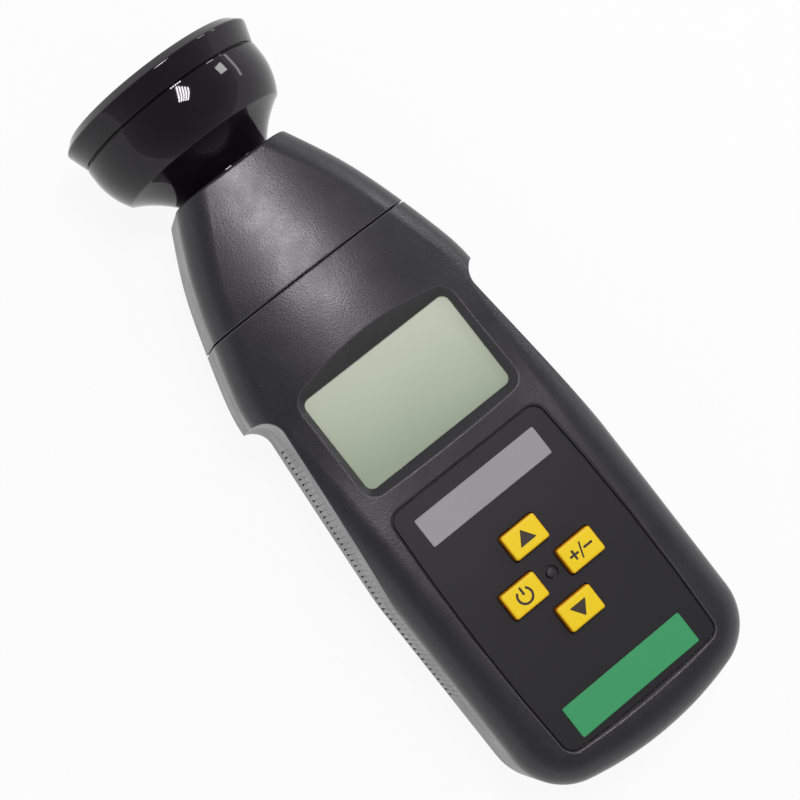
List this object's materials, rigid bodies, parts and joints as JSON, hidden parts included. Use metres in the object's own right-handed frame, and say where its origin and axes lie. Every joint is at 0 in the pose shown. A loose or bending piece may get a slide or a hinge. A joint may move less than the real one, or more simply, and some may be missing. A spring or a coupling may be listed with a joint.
{
  "type": "hand-held stroboscope",
  "caption": "Hand-held xenon stroboscope: tapered case with display window and keypad, battery door at the back, and a round lamp head with screw-on lens ring on a necked housing.",
  "frame": {"origin": "on the flat back face of the case, on its centre line, at the middle of the grip", "axes": "X to the user's right looking at the front face, Y along the case towards the lamp, Z out of the front face"},
  "size_m": [0.0704, 0.2065, 0.0558],
  "materials": {
    "case_plastic": "fine moulded grain",
    "panel_film": "satin film",
    "grey_label": "satin",
    "green_label": "satin",
    "key_rubber": "satin",
    "stud_plastic": "satin",
    "clear_plastic": "clear",
    "display_grey": "display face",
    "frame_plastic": "plain",
    "contact_rubber": "plain",
    "circuit_board": "solder mask",
    "chip_epoxy": "plain",
    "bright_metal": "bright",
    "switch_plastic": "plain",
    "tray_plastic": "plain",
    "cell_sleeve": "gloss sleeve",
    "gloss_black": "high gloss",
    "nut_plastic": "plain",
    "gasket_rubber": "plain",
    "lens_clear": "clear",
    "reflector_metal": "polished",
    "tube_quartz": "clear",
    "capacitor_sleeve": "sleeve",
    "ferrite": "matt",
    "winding_tape": "tape",
    "lead_sleeve": "plain",
    "screw_steel": "blackened",
    "board_screw_steel": "bright"
  },
  "bodies": {
    "case": {"back_shell": "case_plastic", "battery_cells": "cell_sleeve", "battery_contacts": "bright_metal", "battery_springs": "bright_metal", "battery_tray": "tray_plastic", "case_screws": "screw_steel", "centre_stud": "stud_plastic", "contact_strips": "contact_rubber", "control_chip": "chip_epoxy", "control_panel": "panel_film", "display_frame": "frame_plastic", "display_glass": "display_grey", "display_window": "clear_plastic", "flash_capacitor": "capacitor_sleeve", "flash_tube": "tube_quartz", "front_shell": "case_plastic", "head_cap": "case_plastic", "head_cap_screws": "screw_steel", "inverter_core": "ferrite", "inverter_winding": "winding_tape", "lamp_base": "tray_plastic", "lamp_housing": "gloss_black", "lamp_leads": "lead_sleeve", "lower_label": "green_label", "main_board": "circuit_board", "main_board_screws": "board_screw_steel", "neck_nut": "nut_plastic", "power_board": "circuit_board", "power_board_screws": "board_screw_steel", "power_transistor": "chip_epoxy", "reflector": "reflector_metal", "switch_housings": "switch_plastic", "timing_crystal": "bright_metal", "trigger_coil": "winding_tape", "tube_electrodes": "bright_metal", "upper_label": "grey_label"},
    "up_key": {"up_key": "key_rubber", "up_key_plunger": "switch_plastic"},
    "down_key": {"down_key": "key_rubber", "down_key_plunger": "switch_plastic"},
    "power_key": {"power_key": "key_rubber", "power_key_plunger": "switch_plastic"},
    "fine_adjust_key": {"fine_adjust_key": "key_rubber", "fine_adjust_key_plunger": "switch_plastic"},
    "lens_pack": {"lens_gasket": "gasket_rubber", "lens": "lens_clear"},
    "bezel": {"bezel_ring": "gloss_black"},
    "door": {"battery_door": "case_plastic"}
  },
  "joints": [
    {"name": "up_key_press", "type": "slide", "parent": "case", "child": "up_key", "axis": [0, 0, -1], "range_m": [0, 0.0009], "stiffness_N_per_m": 1500},
    {"name": "down_key_press", "type": "slide", "parent": "case", "child": "down_key", "axis": [0, 0, -1], "range_m": [0, 0.0009], "stiffness_N_per_m": 1500},
    {"name": "power_key_press", "type": "slide", "parent": "case", "child": "power_key", "axis": [0, 0, -1], "range_m": [0, 0.0009], "stiffness_N_per_m": 1500},
    {"name": "fine_adjust_key_press", "type": "slide", "parent": "case", "child": "fine_adjust_key", "axis": [0, 0, -1], "range_m": [0, 0.0009], "stiffness_N_per_m": 1500},
    {"name": "lens_lift", "type": "slide", "parent": "case", "child": "lens_pack", "axis": [0, 1, 0], "range_m": [0, 0.0045]},
    {"name": "ring_turn", "type": "hinge", "parent": "lens_pack", "child": "bezel", "pos_m": [0, 0.13, 0.018], "axis": [0, 1, 0], "range_deg": [0, 1080]},
    {"name": "door_swing", "type": "hinge", "parent": "case", "child": "door", "pos_m": [0, -0.05655, 0], "axis": [-1, 0, 0], "range_deg": [0, 60]}
  ],
  "couplings": [
    {"joint": "ring_turn", "follows": "lens_lift", "rad_per_m": 4188.8}
  ]
}
